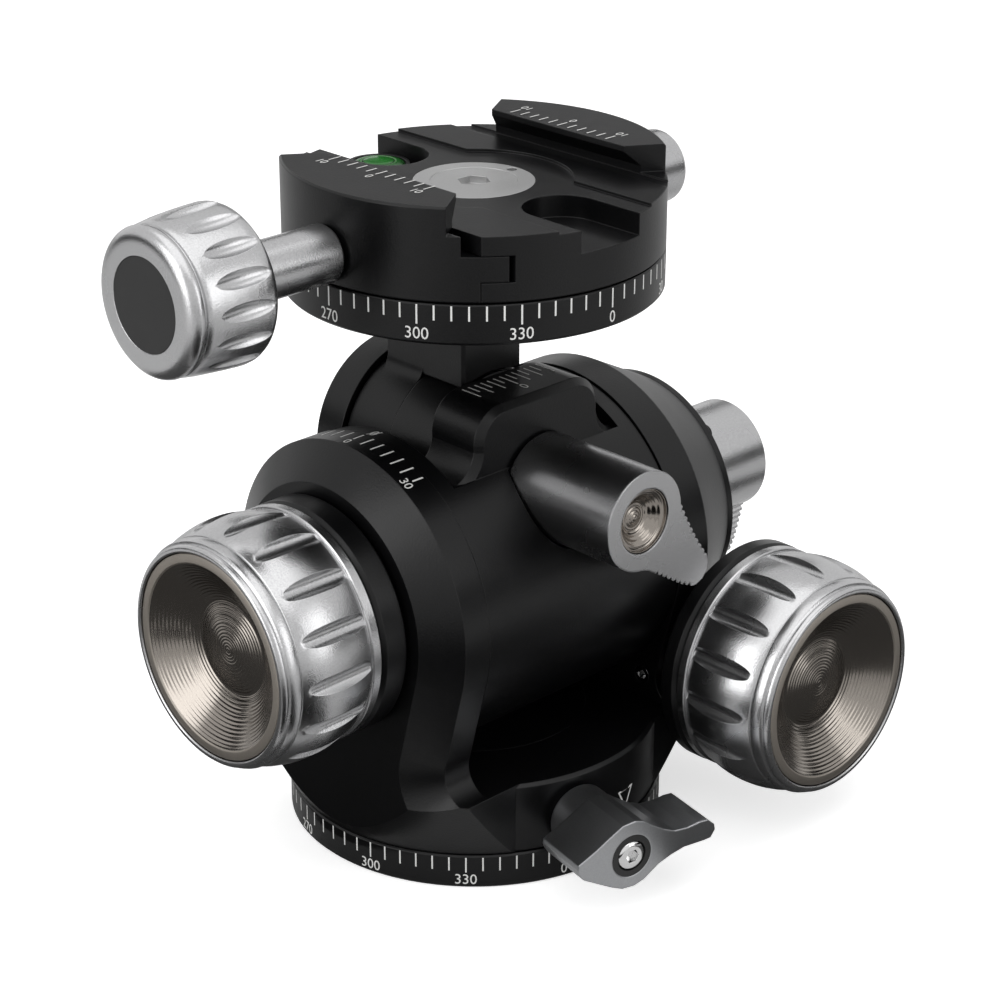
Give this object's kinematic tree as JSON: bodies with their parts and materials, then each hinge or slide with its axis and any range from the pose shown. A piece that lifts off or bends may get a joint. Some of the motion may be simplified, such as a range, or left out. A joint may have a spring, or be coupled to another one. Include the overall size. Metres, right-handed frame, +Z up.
{
  "type": "geared tripod head",
  "caption": "Compact two-axis geared head: panning base, worm-driven tilt knobs, thumb lock levers and a turning dovetail clamp with a level.",
  "frame": {"origin": "centre of the underside of the base, on the pan axis", "axes": "+Z up along the pan axis, -Y the front with the front lever and the fore-and-aft tilt knob, -X the side of the sideways tilt knob"},
  "size_m": [0.1214, 0.0785, 0.1118],
  "materials": {
    "black_anodised": "fine bead-blasted black anodised",
    "silver_anodised": "satin silver anodised",
    "grey_anodised": "satin grey anodised",
    "bronze_grey": "spun, fine concentric grooves",
    "steel": "ground",
    "bright_screw": "polished",
    "dark_screw": "black oxide",
    "brass": "turned",
    "polymer": "matte",
    "vial_green": "clear green"
  },
  "bodies": {
    "base": {"pan_base": "black_anodised", "tripod_bush": "steel", "pan_retainer": "brass", "retainer_screws": "dark_screw"},
    "yoke": {"yoke": "black_anodised", "floor_cover": "black_anodised", "pan_washer": "polymer", "pan_brake_shoe": "brass", "left_bearing": "brass", "right_bearing": "brass", "grub_screw": "steel", "gear_housing": "black_anodised", "housing_screws": "dark_screw", "gear_cover": "black_anodised", "cover_screws": "dark_screw", "worm_collar_right": "black_anodised", "worm_a_bushes": "brass"},
    "pan_lever": {"pan_lever": "grey_anodised", "pan_lever_stud": "steel", "pan_lever_ring": "polymer", "pan_lever_screw": "bright_screw"},
    "tilt": {"tilt_body": "black_anodised", "back_plate": "black_anodised", "back_plate_screws": "dark_screw", "tilt_pin": "steel", "left_pivot": "black_anodised", "left_collar": "black_anodised", "worm_b_bushes": "brass", "right_pivot": "steel", "clamp_bolt_a": "steel", "worm_wheel_a": "brass"},
    "neck": {"neck": "black_anodised", "worm_wheel_b": "brass", "top_scale_ring": "black_anodised", "neck_screws": "dark_screw", "top_spindle": "steel", "centre_ring": "silver_anodised", "centre_screw": "silver_anodised"},
    "clamp": {"clamp_body": "black_anodised", "guide_pins": "steel", "top_brake_pad": "brass", "level_cup": "black_anodised", "level_vial": "vial_green"},
    "jaw": {"moving_jaw": "black_anodised"},
    "clamp_knob": {"clamp_knob": "silver_anodised", "clamp_knob_disc": "black_anodised", "clamp_screw": "steel"},
    "top_lock": {"top_lock_knob": "silver_anodised"},
    "lever_b": {"front_lever": "grey_anodised", "front_lever_insert": "bronze_grey"},
    "lever_a": {"rear_lever": "silver_anodised", "rear_lever_insert": "bronze_grey"},
    "knob_right": {"right_knob": "silver_anodised", "right_knob_insert": "bronze_grey", "worm_a": "steel"},
    "knob_left": {"left_knob": "silver_anodised", "left_knob_insert": "bronze_grey", "worm_b": "steel"}
  },
  "joints": [
    {"name": "pan", "type": "hinge", "parent": "base", "child": "yoke", "pos_m": [0, 0, 0], "axis": [0, 0, 1], "continuous": true},
    {"name": "pan_lock_turn", "type": "hinge", "parent": "yoke", "child": "pan_lever", "pos_m": [0, 0, 0.0106], "axis": [-0.2079, -0.9781, 0], "range_deg": [-20, 60]},
    {"name": "tilt_fore_aft", "type": "hinge", "parent": "yoke", "child": "tilt", "pos_m": [0, 0, 0.0435], "axis": [1, 0, 0], "range_deg": [-90, 25]},
    {"name": "tilt_sideways", "type": "hinge", "parent": "tilt", "child": "neck", "pos_m": [0, 0, 0.0604], "axis": [0, 1, 0], "range_deg": [-30, 30]},
    {"name": "top_pan", "type": "hinge", "parent": "neck", "child": "clamp", "pos_m": [0, 0, 0.1], "axis": [0, 0, 1], "continuous": true},
    {"name": "jaw_slide", "type": "slide", "parent": "clamp", "child": "jaw", "axis": [-1, 0, 0], "range_m": [0, 0.006]},
    {"name": "clamp_knob_turn", "type": "hinge", "parent": "jaw", "child": "clamp_knob", "pos_m": [-0.06, 0, 0.1], "axis": [-1, 0, 0], "range_deg": [-20, 2200]},
    {"name": "top_lock_turn", "type": "hinge", "parent": "clamp", "child": "top_lock", "pos_m": [0.035, 0, 0.0986], "axis": [1, 0, 0], "range_deg": [0, 360]},
    {"name": "front_lever_turn", "type": "hinge", "parent": "tilt", "child": "lever_b", "pos_m": [0, -0.03, 0.0604], "axis": [0, -1, 0], "range_deg": [-60, 40]},
    {"name": "rear_lever_turn", "type": "hinge", "parent": "yoke", "child": "lever_a", "pos_m": [0.05, 0, 0.0435], "axis": [1, 0, 0], "range_deg": [-60, 40]},
    {"name": "fore_aft_knob_turn", "type": "hinge", "parent": "yoke", "child": "knob_right", "pos_m": [0.033, -0.04, 0.0248], "axis": [0, -1, 0], "range_deg": [-3650, 1050]},
    {"name": "sideways_knob_turn", "type": "hinge", "parent": "tilt", "child": "knob_left", "pos_m": [-0.045, 0, 0.0435], "axis": [-1, 0, 0], "range_deg": [-920, 920]}
  ],
  "couplings": [
    {"joint": "fore_aft_knob_turn", "follows": "tilt_fore_aft", "ratio": 40},
    {"joint": "sideways_knob_turn", "follows": "tilt_sideways", "ratio": 30},
    {"joint": "clamp_knob_turn", "follows": "jaw_slide", "rad_per_m": 6283.2}
  ]
}
